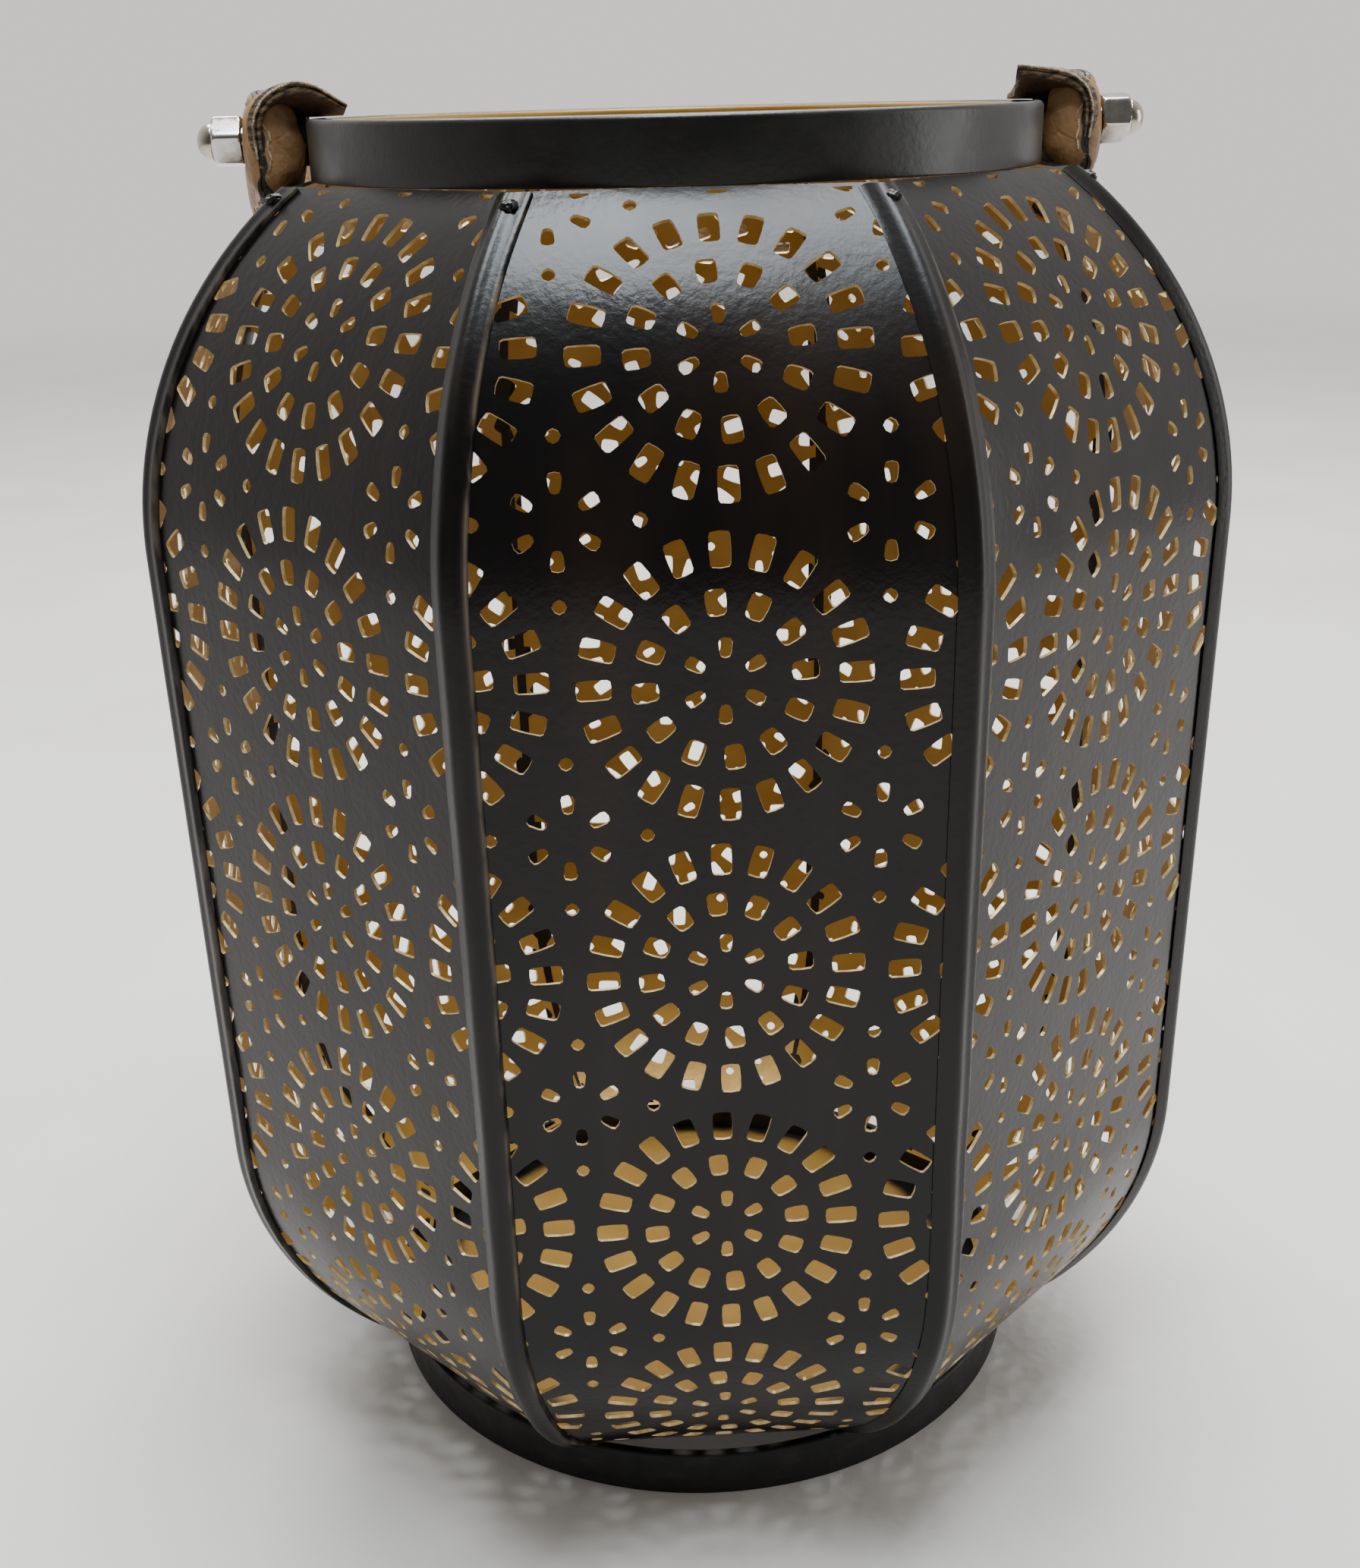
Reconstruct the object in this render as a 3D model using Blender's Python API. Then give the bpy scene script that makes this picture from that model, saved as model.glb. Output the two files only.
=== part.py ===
"""Hanging lantern: an eight-sided barrel of curved sheet panels between two round bars, with a
leather strap handle that swings on two pivot bolts.

Metres, +Z up. The origin is the centre of the underside, the lantern faces -Y, and the handle rests
behind it, towards +Y.
"""

import math

import bmesh
import bpy
from mathutils import Matrix, Vector

MM = 0.001
GAP = 0.3 * MM  # between pieces that touch

# Body
SIDES = 8
BODY_HEIGHT = 327.0 * MM  # underside to rim
ACROSS_FLATS = 239.6 * MM  # at the straight wall
SHOULDER_HEIGHT = 74.7 * MM  # of the rounded part at each end of a panel
SHEET = 0.8 * MM

# Round bars at the two ends
RIM_RADIUS = 83.0 * MM
FOOT_RADIUS = 90.0 * MM
BAR_HEIGHT = 12.5 * MM
BAR_THICKNESS = 3.0 * MM
BAR_ROUNDING = 1.2 * MM
FLOOR_SHEET = 1.0 * MM
CORNER_INSET = 1.0 * MM  # of the panels' lower corners from the foot's outside

# Strips over the corner joints
STRIP_WIDTH = 8.0 * MM
STRIP_EDGE = 0.7 * MM
STRIP_CROWN = 1.4 * MM  # above the corner

# Pivots
BOLT_RADIUS = 3.0 * MM
BOLT_BELOW_RIM = 4.4 * MM
BOLT_HEAD_RADIUS = 4.2 * MM
BOLT_HEAD_HEIGHT = 3.0 * MM
BOLT_IN_NUT = 6.0 * MM
SPACER_RADIUS = 5.5 * MM
SPACER_LENGTH = 8.4 * MM
NUT_ACROSS_FLATS = 10.0 * MM
NUT_HEX_LENGTH = 6.4 * MM
NUT_CHAMFER = 0.7 * MM
DOME_RADIUS = 4.1 * MM

# Strap handle
LEATHER = 2.8 * MM
STRAP_WIDTH = 26.0 * MM
STRAP_END = 9.0 * MM  # beyond the bolt
STRAP_CORNER = 8.0 * MM
STRAP_BEVEL = 0.6 * MM
STRAP_STRAIGHT = 4.0 * MM  # of each leg, above the bolt
LOOP_FLARE = 8.05 * MM  # of the loop beyond the legs, on each side
LOOP_SWEEP = 60.0 * MM  # radius of the leg's outward curve
REST_CLEARANCE = 1.18 * MM  # of the resting strap over the back shoulders

# Fineness
SHOULDER_STEPS = 10
WALL_STEPS = 4
RING_STEPS = 72
BOLT_STEPS = 20
ARCH_STEPS = 32
SWEEP_STEPS = 4
CORNER_STEPS = 4
NUT_STEPS = 24  # a multiple of six

HALF_SIDE = math.pi / SIDES
WALL_APOTHEM = ACROSS_FLATS / 2
RIM_BAR_UNDERSIDE = BODY_HEIGHT - BAR_HEIGHT
BOLT_Z = BODY_HEIGHT - BOLT_BELOW_RIM
BORE_RADIUS = BOLT_RADIUS + GAP
SPACER_START = RIM_RADIUS + GAP
STRAP_START = SPACER_START + SPACER_LENGTH + GAP
STRAP_THICKNESS = 2 * LEATHER + GAP
LEG_X = STRAP_START + STRAP_THICKNESS / 2
NUT_START = STRAP_START + STRAP_THICKNESS + GAP
LOOP_HALF_WIDTH = LEG_X + LOOP_FLARE


def material(name, color, roughness, metallic):
    """A plain Principled material."""
    found = bpy.data.materials.new(name)
    found.use_nodes = True
    shader = found.node_tree.nodes["Principled BSDF"]
    shader.inputs["Base Color"].default_value = (*color, 1)
    shader.inputs["Roughness"].default_value = roughness
    shader.inputs["Metallic"].default_value = metallic
    return found


def add_object(name, bm, look, smooth=True):
    """Closes a bmesh into a named object with one material."""
    bmesh.ops.recalc_face_normals(bm, faces=bm.faces)
    mesh = bpy.data.meshes.new(name)
    bm.to_mesh(mesh)
    bm.free()
    if smooth:
        mesh.shade_smooth()
        mesh.set_sharp_from_angle(angle=math.radians(35))
    obj = bpy.data.objects.new(name, mesh)
    bpy.context.scene.collection.objects.link(obj)
    if look:
        mesh.materials.append(look)
    return obj


def loft(sections, closed=False):
    """A skin over equal-sized loops of points, capped at both ends unless the loops close up."""
    bm = bmesh.new()
    rows = [[bm.verts.new(point) for point in section] for section in sections]
    pairs = list(zip(rows, rows[1:]))
    if closed:
        pairs.append((rows[-1], rows[0]))
    for row, following in pairs:
        for i in range(len(row)):
            j = (i + 1) % len(row)
            bm.faces.new((row[i], row[j], following[j], following[i]))
    if not closed:
        bm.faces.new(rows[0])
        bm.faces.new(reversed(rows[-1]))
    return bm


def cylinder(name, radius, start, end, axis, look=None):
    """A round bar between two places on an axis."""
    bm = bmesh.new()
    bmesh.ops.create_cone(
        bm, cap_ends=True, segments=BOLT_STEPS, radius1=radius, radius2=radius, depth=end - start
    )
    turn = Vector((0, 0, 1)).rotation_difference(Vector(axis)).to_matrix().to_4x4()
    bmesh.ops.transform(bm, matrix=turn @ Matrix.Translation((0, 0, (start + end) / 2)), verts=bm.verts)
    return add_object(name, bm, look)


def cut(obj, cutter):
    """Takes a cutter out of an object and hides the cutter."""
    modifier = obj.modifiers.new("cut_" + cutter.name, "BOOLEAN")
    modifier.operation = "DIFFERENCE"
    modifier.solver = "EXACT"
    modifier.object = cutter
    cutter.hide_render = True
    cutter.display_type = "WIRE"


def shoulder_radius(end_apothem):
    """Radius of the arc that leaves the wall upright and ends at an apothem, one shoulder height on."""
    drop = WALL_APOTHEM - end_apothem
    return (SHOULDER_HEIGHT**2 + drop**2) / (2 * drop)


def profile():
    """The panels' outer line from bottom to top: apothem, height, and the outward normal in that plane."""
    foot_end = (FOOT_RADIUS - CORNER_INSET) * math.cos(HALF_SIDE)
    bottom, top = BAR_HEIGHT + GAP, RIM_BAR_UNDERSIDE - GAP
    stations = []

    def shoulder(end_apothem, level, side):
        radius = shoulder_radius(end_apothem)
        full = math.asin(SHOULDER_HEIGHT / radius)
        for step in range(SHOULDER_STEPS + 1):
            turn = full * step / SHOULDER_STEPS
            apothem = WALL_APOTHEM - radius * (1 - math.cos(turn))
            height = level + side * radius * math.sin(turn)
            yield apothem, height, math.cos(turn), side * math.sin(turn)

    lower, upper = bottom + SHOULDER_HEIGHT, top - SHOULDER_HEIGHT
    stations += reversed(list(shoulder(foot_end, lower, -1)))
    for step in range(1, WALL_STEPS):
        stations.append((WALL_APOTHEM, lower + (upper - lower) * step / WALL_STEPS, 1.0, 0.0))
    stations += shoulder(RIM_RADIUS, upper, 1)
    return stations


def around(angle, out, across, height):
    """A point from its distance out and across, seen from a direction; angle 0 is the front."""
    sine, cosine = math.sin(angle), math.cos(angle)
    return Vector((out * sine + across * cosine, -out * cosine + across * sine, height))


def make_panel(index, look):
    """One curved sheet, flat across, that stops just short of the corners."""
    angle = 2 * HALF_SIDE * index
    sections = []
    for apothem, height, normal_out, normal_up in profile():
        loop = []
        for depth, sides in ((0.0, (-1, 1)), (SHEET, (1, -1))):
            out = apothem - depth * normal_out
            across = out * math.tan(HALF_SIDE) - GAP / 2
            for side in sides:
                loop.append(around(angle, out, side * across, height - depth * normal_up))
        sections.append(loop)
    return add_object(f"panel_{index + 1}", loft(sections), look, smooth=False)


def make_corner_strip(index, look):
    """A rounded strip over the joint between two panels, following the corner from bar to bar."""
    angle = 2 * HALF_SIDE * (index + 0.5)
    slope = math.tan(HALF_SIDE)
    half = STRIP_WIDTH / 2
    places = [half * i / 3 for i in range(-3, 4)]
    sections = []
    for apothem, height, normal_out, normal_up in profile():
        corner = apothem / math.cos(HALF_SIDE)
        edge = GAP - half * slope * normal_out
        inner = [(across, GAP - abs(across) * slope * normal_out) for across in (half, 0.0, -half)]
        flatness = STRIP_CROWN - edge - STRIP_EDGE
        outer = [(across, STRIP_CROWN - flatness * (across / half) ** 2) for across in places]
        loop = []
        for across, lift in outer + inner:
            out, up = corner + lift * normal_out, height + lift * normal_up
            level = min(max(up, BAR_HEIGHT + GAP), RIM_BAR_UNDERSIDE - GAP)
            slide = (level - up) / normal_out  # along the surface, so that the strip ends level
            loop.append(around(angle, out - slide * normal_up, across, level))
        sections.append(loop)
    return add_object(f"corner_strip_{index + 1}", loft(sections), look)


def make_bar_ring(name, outside, low, look):
    """A flat bar rolled into a ring, standing on its edge, with a softened upper edge."""
    inside = outside - BAR_THICKNESS
    high = low + BAR_HEIGHT
    loop = [(inside, low), (outside, low)]
    for centre, start in ((outside - BAR_ROUNDING, 0.0), (inside + BAR_ROUNDING, math.pi / 2)):
        for step in range(4):
            turn = start + math.pi / 2 * step / 3
            loop.append(
                (centre + BAR_ROUNDING * math.cos(turn), high - BAR_ROUNDING * (1 - math.sin(turn)))
            )
    turns = [2 * math.pi * step / RING_STEPS for step in range(RING_STEPS)]
    sections = [[around(turn, out, 0.0, height) for out, height in loop] for turn in turns]
    return add_object(name, loft(sections, closed=True), look)


def make_floor(look):
    """The disc that closes the foot ring, level with its underside."""
    radius = FOOT_RADIUS - BAR_THICKNESS - GAP
    turns = [2 * math.pi * step / RING_STEPS for step in range(RING_STEPS)]
    sections = [[around(turn, radius, 0.0, height) for turn in turns] for height in (0.0, FLOOR_SHEET)]
    return add_object("floor_plate", loft(sections), look)


def turned(stations, steps, side):
    """A solid turned about the bolt axis from (distance out, radius) pairs; a radius may be a function."""
    sections = []
    for out, radius in stations:
        loop = []
        for step in range(steps):
            turn = 2 * math.pi * step / steps
            size = radius(turn) if callable(radius) else radius
            loop.append(Vector((side * out, size * math.cos(turn), BOLT_Z + size * math.sin(turn))))
        sections.append(loop)
    return loft(sections)


def make_bolt(name, side, look):
    """A pan-head bolt from inside the rim, through spacer and strap, into the nut."""
    seat = RIM_RADIUS - BAR_THICKNESS - GAP - BOLT_HEAD_RADIUS**2 / (2 * RIM_RADIUS)
    rounding = BOLT_HEAD_HEIGHT / 2
    stations = []
    for step in range(5):
        turn = math.pi / 2 * step / 4
        out = seat - rounding - rounding * math.cos(turn)
        stations.append((out, BOLT_HEAD_RADIUS - rounding * (1 - math.sin(turn))))
    stations += [(seat, BOLT_HEAD_RADIUS), (seat, BOLT_RADIUS)]
    stations.append((NUT_START + BOLT_IN_NUT, BOLT_RADIUS))
    return add_object(name, turned(stations, BOLT_STEPS, side), look)


def make_spacer(name, side, look):
    """The sleeve that holds the strap off the rim."""
    stations = [(SPACER_START, SPACER_RADIUS), (SPACER_START + SPACER_LENGTH, SPACER_RADIUS)]
    return add_object(name, turned(stations, BOLT_STEPS, side), look)


def make_acorn_nut(name, side, look):
    """A hexagon with rounded corners and a domed cap."""

    def hexagon(limit):
        def radius(turn):
            beside = (turn % (math.pi / 3)) - math.pi / 6
            return min(NUT_ACROSS_FLATS / 2 / math.cos(beside), limit)

        return radius

    corner = NUT_ACROSS_FLATS / 2 / math.cos(math.pi / 6)
    flush = NUT_ACROSS_FLATS / 2
    end = NUT_START + NUT_HEX_LENGTH
    stations = [(NUT_START, hexagon(flush)), (NUT_START + NUT_CHAMFER, hexagon(corner))]
    stations += [(end - NUT_CHAMFER, hexagon(corner)), (end, hexagon(flush)), (end, DOME_RADIUS)]
    for step in range(1, 8):
        turn = math.pi / 2 * step / 8
        stations.append((end + DOME_RADIUS * math.sin(turn), DOME_RADIUS * math.cos(turn)))
    return add_object(name, turned(stations, NUT_STEPS, side), look)


def strap_line():
    """The loop's middle line from one end to the other: lateral place, height, and outward normal."""
    reach = LOOP_HALF_WIDTH + LOOP_SWEEP
    swing = LEG_X + LOOP_SWEEP
    arch_height = STRAP_STRAIGHT + math.sqrt(reach**2 - swing**2)
    meet = math.acos(swing / reach)
    leg = []
    for step in range(CORNER_STEPS):
        turn = math.pi / 2 * step / CORNER_STEPS
        leg.append((LEG_X, -STRAP_END + STRAP_CORNER * (1 - math.cos(turn)), 1.0, 0.0))
    leg.append((LEG_X, STRAP_CORNER - STRAP_END, 1.0, 0.0))
    for step in range(SWEEP_STEPS):
        turn = meet * step / SWEEP_STEPS
        across = swing - LOOP_SWEEP * math.cos(turn)
        leg.append((across, STRAP_STRAIGHT + LOOP_SWEEP * math.sin(turn), math.cos(turn), -math.sin(turn)))
    arch = []
    for step in range(ARCH_STEPS + 1):
        turn = -meet + (math.pi + 2 * meet) * step / ARCH_STEPS
        cosine, sine = math.cos(turn), math.sin(turn)
        arch.append((LOOP_HALF_WIDTH * cosine, arch_height + LOOP_HALF_WIDTH * sine, cosine, sine))
    other = [(-across, height, -out, up) for across, height, out, up in reversed(leg)]
    return leg + arch + other


def half_width(height, on_leg):
    """Half the strap's width, drawn in round the two corners of each end."""
    into = height + STRAP_END
    if not on_leg or into >= STRAP_CORNER:
        return STRAP_WIDTH / 2
    return STRAP_WIDTH / 2 - STRAP_CORNER + math.sqrt(STRAP_CORNER**2 - (STRAP_CORNER - into) ** 2)


def room_over_body(point):
    """How far a point is outside the panels, or outside a corner strip that it is beside, level with it."""
    upper = RIM_BAR_UNDERSIDE - GAP - SHOULDER_HEIGHT
    radius = shoulder_radius(RIM_RADIUS)
    rise = min(max(point.z - upper, 0.0), SHOULDER_HEIGHT)
    apothem = WALL_APOTHEM - radius + math.sqrt(radius**2 - rise**2)
    faces = [around(2 * HALF_SIDE * index, 1.0, 0.0, 0.0) for index in range(SIDES)]
    room = max(point.dot(face) for face in faces) - apothem
    for index in range(SIDES):
        corner = around(2 * HALF_SIDE * (index + 0.5), 1.0, 0.0, 0.0)
        out = point.dot(corner)
        if out > 0 and abs(corner.cross(point).z) < 0.625 * STRIP_WIDTH:
            room = min(room, out - apothem / math.cos(HALF_SIDE) - STRIP_CROWN)
    return room


def resting_room(drop):
    """The least room between the body and the lower edge of a strap that hangs back by an angle."""
    least = WALL_APOTHEM
    line = strap_line()
    for first, second in zip(line, line[1:]):
        for share in (0.0, 0.25, 0.5, 0.75):
            across, height, out, up = (a + (b - a) * share for a, b in zip(first, second))
            low = half_width(height, abs(across) <= LEG_X + GAP)
            for reach in (-STRAP_THICKNESS / 2, STRAP_THICKNESS / 2):
                place = Vector((across + reach * out, low, height + reach * up))
                place = Matrix.Rotation(-math.pi / 2 - drop, 3, "X") @ place + Vector((0, 0, BOLT_Z))
                if place.y > BOLT_HEAD_RADIUS:
                    least = min(least, room_over_body(place))
    return least


def rest_drop():
    """The angle below level at which the handle comes to rest over the back shoulders."""
    low, high = -math.pi / 3, math.pi / 3
    for _ in range(30):
        middle = (low + high) / 2
        if resting_room(middle) > REST_CLEARANCE:
            low = middle
        else:
            high = middle
    return low


def make_strap_layer(name, middle, parent, look):
    """One leather layer of the handle, a distance out from the loop's middle line."""
    half, bevel = LEATHER / 2, STRAP_BEVEL
    sections = []
    for across, height, out, up in strap_line():
        wide = half_width(height, abs(across) <= LEG_X + GAP)
        loop = []
        for width, thick in (
            (wide, half - bevel), (wide - bevel, half), (-wide + bevel, half), (-wide, half - bevel),
            (-wide, -half + bevel), (-wide + bevel, -half), (wide - bevel, -half), (wide, -half + bevel),
        ):
            reach = middle + thick
            loop.append(Vector((across + reach * out, width, height + reach * up)))
        sections.append(loop)
    obj = add_object(name, loft(sections), look)
    obj.parent = parent
    return obj


def build():
    """Makes the whole lantern."""
    for obj in list(bpy.data.objects):
        bpy.data.objects.remove(obj)
    black = material("black_paint", (0.018, 0.016, 0.015), 0.35, 0.6)
    dull_black = material("matt_black_paint", (0.02, 0.019, 0.018), 0.6, 0.3)
    nickel = material("nickel_plate", (0.66, 0.64, 0.6), 0.25, 1.0)
    tan = material("tan_leather", (0.42, 0.25, 0.1), 0.55, 0.0)

    for index in range(SIDES):
        make_panel(index, black)
        make_corner_strip(index, black)
    top_ring = make_bar_ring("top_ring", RIM_RADIUS, RIM_BAR_UNDERSIDE, black)
    make_bar_ring("base_ring", FOOT_RADIUS, 0.0, dull_black)
    make_floor(dull_black)

    hinge = bpy.data.objects.new("handle_axis", None)
    bpy.context.scene.collection.objects.link(hinge)
    hinge.location = (0, 0, BOLT_Z)
    hinge.rotation_euler = (-(math.pi / 2 + rest_drop()), 0, 0)
    offset = (LEATHER + GAP) / 2
    inner = make_strap_layer("strap_inner_layer", -offset, hinge, tan)
    outer = make_strap_layer("strap_outer_layer", offset, hinge, tan)

    bore = cylinder("pivot_bore", BORE_RADIUS, -NUT_START, NUT_START, (1, 0, 0))
    bore.location = (0, 0, BOLT_Z)
    for obj in (top_ring, inner, outer):
        cut(obj, bore)
    for name, side in (("left", -1), ("right", 1)):
        make_bolt(f"pivot_bolt_{name}", side, nickel)
        spacer = make_spacer(f"spacer_{name}", side, dull_black)
        cut(spacer, bore)
        nut = make_acorn_nut(f"acorn_nut_{name}", side, nickel)
        start, end = NUT_START - GAP, NUT_START + BOLT_IN_NUT + GAP
        blind = cylinder(f"nut_bore_{name}", BORE_RADIUS, start, end, (side, 0, 0))
        blind.location = (0, 0, BOLT_Z)
        cut(nut, blind)


build()
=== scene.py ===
"""Looks for the hanging lantern: pierced sheet panels, capped corners, painted bars, plated nuts and a
stitched leather strap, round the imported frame."""

import math

import bmesh
import bpy
from mathutils import Matrix, Vector, geometry, noise


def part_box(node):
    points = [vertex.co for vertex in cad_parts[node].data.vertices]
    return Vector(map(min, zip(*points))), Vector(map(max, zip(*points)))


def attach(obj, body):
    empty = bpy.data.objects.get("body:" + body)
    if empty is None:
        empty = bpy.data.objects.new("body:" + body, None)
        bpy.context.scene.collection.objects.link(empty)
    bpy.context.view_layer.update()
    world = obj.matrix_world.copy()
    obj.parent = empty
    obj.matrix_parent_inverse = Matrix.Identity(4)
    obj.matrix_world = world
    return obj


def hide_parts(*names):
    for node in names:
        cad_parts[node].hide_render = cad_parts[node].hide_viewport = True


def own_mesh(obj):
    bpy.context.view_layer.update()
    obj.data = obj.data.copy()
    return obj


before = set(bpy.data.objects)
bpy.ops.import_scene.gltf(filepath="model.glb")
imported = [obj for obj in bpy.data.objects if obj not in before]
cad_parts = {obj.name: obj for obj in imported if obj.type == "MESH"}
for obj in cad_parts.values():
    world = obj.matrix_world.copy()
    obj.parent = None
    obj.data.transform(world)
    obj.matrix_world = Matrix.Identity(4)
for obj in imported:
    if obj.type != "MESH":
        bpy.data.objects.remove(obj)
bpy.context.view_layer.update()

MM = 0.001
GAP = 0.3 * MM

# Sizes that the CAD source has too
SIDES = 8
HALF_SIDE = math.pi / SIDES
WALL_APOTHEM = 119.8 * MM
SHOULDER_HEIGHT = 74.7 * MM
SHEET = 0.8 * MM
RIM_RADIUS = 83.0 * MM
FOOT_RADIUS = 90.0 * MM
BAR_HEIGHT = 12.5 * MM
BAR_THICKNESS = 3.0 * MM
CORNER_INSET = 1.0 * MM
STRIP_WIDTH = 8.0 * MM
LEATHER = 2.8 * MM
STRAP_WIDTH = 26.0 * MM
STRAP_END = 9.0 * MM  # from the bolt to the strap's end
STRAP_STRAIGHT = 4.0 * MM
LOOP_HALF_WIDTH = 103.0 * MM
LOOP_SWEEP = 60.0 * MM
REST_DROP = math.radians(10)

# Places read from the frame
RIM_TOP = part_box("top_ring")[1].z
RIM_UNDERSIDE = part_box("top_ring")[0].z
BOLT_Z = (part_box("acorn_nut_left")[0].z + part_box("acorn_nut_left")[1].z) / 2
NUT_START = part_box("acorn_nut_right")[0].x
NUT_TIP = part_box("acorn_nut_right")[1].x
LEG_X = NUT_START - GAP - LEATHER - GAP / 2
SPACER_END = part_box("spacer_right")[1].x

# Finer points of the metal
SEAL = 0.27 * MM  # how far the rim's paint reaches down over the gap
BARE_WELD = 5  # the strip whose weld shows bare metal
WELD_SIZE = Vector((1.9, 2.3, 1.3)) * MM
STRIP_STEPS = 96
RING_STEPS = 256
EDGE_STEPS = 6  # along each rounded edge of a bar
LOW_EDGE = 0.35 * MM  # rounding of a bar's lower edges

# The strap's padding and sewing
STRAP_CORNER = 4.0 * MM
BLUNT_END = 5.0 * MM  # over which the padding comes up from the cut end
PILLOW_LENGTH = 16.0 * MM  # of the fullest stretch, by the bolt
PILLOW_TAPER = 60.0 * MM
OUTER_FULL = 3.0 * MM
INNER_FULL = 9.4 * MM
LOOP_FULL = 3.7 * MM
END_SEAM = 0.35 * MM  # half the thickness left at the seam
LOOP_SEAM = 1.2 * MM
STITCH_INSET = 2.3 * MM
STITCH_PITCH = 4.3 * MM
BOLT_BORE = 3.3 * MM
SPACER_BORE = 5.9 * MM

# The punched pattern
REPEAT = 61.9 * MM  # between medallion centres
PATTERN_HEIGHT = 166.7 * MM  # of the middle medallion
SKEW_LOW, SKEW_HIGH = -0.6 * MM, 2.7 * MM  # of the pattern's centre line
HOLE_EDGE = 0.9 * MM  # sheet left at the panel's edge
BAND = 5.0 * MM  # height of the strips the panel is bent in


# ---------------------------------------------------------------- helpers


def add_mesh(name, bm, looks=(), smooth=True, body="lantern"):
    """Closes a bmesh into a named piece on a body."""
    mesh = bpy.data.meshes.new(name)
    bm.to_mesh(mesh)
    bm.free()
    if smooth:
        mesh.shade_smooth()
        mesh.set_sharp_from_angle(angle=math.radians(40))
    obj = bpy.data.objects.new(name, mesh)
    bpy.context.scene.collection.objects.link(obj)
    for look in looks:
        mesh.materials.append(look)
    if body:
        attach(obj, body)
    return obj


def loft(bm, sections, closed=False, slot=lambda i, j: 0, caps=True):
    """A skin over equal-sized loops of points, with a material slot for each face."""
    rows = [[bm.verts.new(point) for point in section] for section in sections]
    pairs = list(zip(rows, rows[1:]))
    if closed:
        pairs.append((rows[-1], rows[0]))
    for i, (row, following) in enumerate(pairs):
        for j in range(len(row)):
            k = (j + 1) % len(row)
            bm.faces.new((row[j], row[k], following[k], following[j])).material_index = slot(i, j)
    if caps and not closed:
        bm.faces.new(rows[0]).material_index = slot(-1, 0)
        bm.faces.new(reversed(rows[-1])).material_index = slot(-2, 0)
    bmesh.ops.recalc_face_normals(bm, faces=bm.faces)
    return rows


def mix(a, b, share):
    """A value between two others."""
    return a + (b - a) * share


def ease(value):
    """A smooth step from 0 to 1."""
    value = min(max(value, 0.0), 1.0)
    return value * value * (3 - 2 * value)


# ---------------------------------------------------------------- materials


class Look:
    """A node material with a Principled shader, built a node at a time."""

    def __init__(self, name, metallic=0.0):
        self.material = bpy.data.materials.new(name)
        self.material.use_nodes = True
        self.tree = self.material.node_tree
        self.shader = self.tree.nodes["Principled BSDF"]
        self.set("Metallic", metallic)
        self.place = self.node("ShaderNodeTexCoord").outputs["Object"]
        self.height = None

    def node(self, kind, **settings):
        made = self.tree.nodes.new(kind)
        for key, value in settings.items():
            setattr(made, key, value)
        return made

    def link(self, output, socket):
        self.tree.links.new(output, socket)

    def set(self, socket, value):
        self.shader.inputs[socket].default_value = value

    def scaled(self, scale):
        """The object's coordinates stretched by three factors."""
        mapping = self.node("ShaderNodeMapping")
        mapping.inputs["Scale"].default_value = scale
        self.link(self.place, mapping.inputs["Vector"])
        return mapping.outputs["Vector"]

    def noise(self, scale, detail=3.0, stretch=(1, 1, 1), roughness=0.55):
        made = self.node("ShaderNodeTexNoise")
        made.inputs["Scale"].default_value = scale
        made.inputs["Detail"].default_value = detail
        made.inputs["Roughness"].default_value = roughness
        self.link(self.scaled(stretch), made.inputs["Vector"])
        return made.outputs["Fac"]

    def cells(self, scale, feature="F1", stretch=(1, 1, 1)):
        made = self.node("ShaderNodeTexVoronoi", feature=feature)
        made.inputs["Scale"].default_value = scale
        self.link(self.scaled(stretch), made.inputs["Vector"])
        return made.outputs["Distance"]

    def remap(self, value, low, high, to_low=0.0, to_high=1.0):
        made = self.node("ShaderNodeMapRange", interpolation_type="SMOOTHSTEP")
        for socket, number in zip(("From Min", "From Max", "To Min", "To Max"), (low, high, to_low, to_high)):
            made.inputs[socket].default_value = number
        self.link(value, made.inputs["Value"])
        return made.outputs["Result"]

    def math(self, operation, first, second):
        made = self.node("ShaderNodeMath", operation=operation)
        for socket, value in zip(made.inputs, (first, second)):
            if isinstance(value, (int, float)):
                socket.default_value = value
            else:
                self.link(value, socket)
        return made.outputs[0]

    def attribute(self, name):
        return self.node("ShaderNodeAttribute", attribute_name=name).outputs["Fac"]

    def blend(self, share, first, second):
        """Two colours, or a colour output and a colour, mixed by a value."""
        made = self.node("ShaderNodeMix", data_type="RGBA")
        self.link(share, made.inputs["Factor"])
        for socket, value in ((made.inputs["A"], first), (made.inputs["B"], second)):
            if isinstance(value, tuple):
                socket.default_value = (*value, 1)
            else:
                self.link(value, socket)
        return made.outputs["Result"]

    def color(self, output):
        self.link(output, self.shader.inputs["Base Color"])

    def rough(self, output):
        self.link(output, self.shader.inputs["Roughness"])

    def bump(self, value, distance, strength=1.0):
        """Adds relief; each call goes on top of the one before."""
        made = self.node("ShaderNodeBump")
        made.inputs["Distance"].default_value = distance
        made.inputs["Strength"].default_value = strength
        self.link(value, made.inputs["Height"])
        if self.height:
            self.link(self.height, made.inputs["Normal"])
        self.height = made.outputs["Normal"]
        self.link(self.height, self.shader.inputs["Normal"])


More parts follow.
